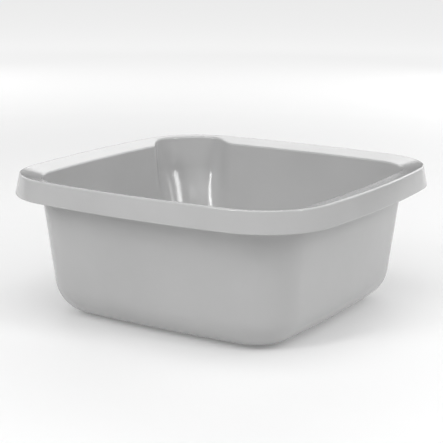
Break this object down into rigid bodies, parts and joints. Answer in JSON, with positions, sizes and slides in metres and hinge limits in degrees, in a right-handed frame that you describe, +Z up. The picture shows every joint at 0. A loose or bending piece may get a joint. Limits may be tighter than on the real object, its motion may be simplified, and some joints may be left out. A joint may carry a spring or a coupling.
{
  "type": "washing up bowl",
  "caption": "Square moulded plastic bowl with bowed tapering walls, a down-turned rim to lift it by, a pouring lip in one corner and a flat ring to stand on.",
  "frame": {"origin": "middle of the foot, on the surface that the bowl stands on", "axes": "+Z up, out of the mouth; X and Y square to the four sides, with the pouring lip in the corner at -X and +Y"},
  "size_m": [0.3594, 0.3594, 0.1451],
  "materials": {
    "bowl_plastic": "satin"
  },
  "bodies": {
    "root": {"bowl": "bowl_plastic"}
  },
  "joints": []
}
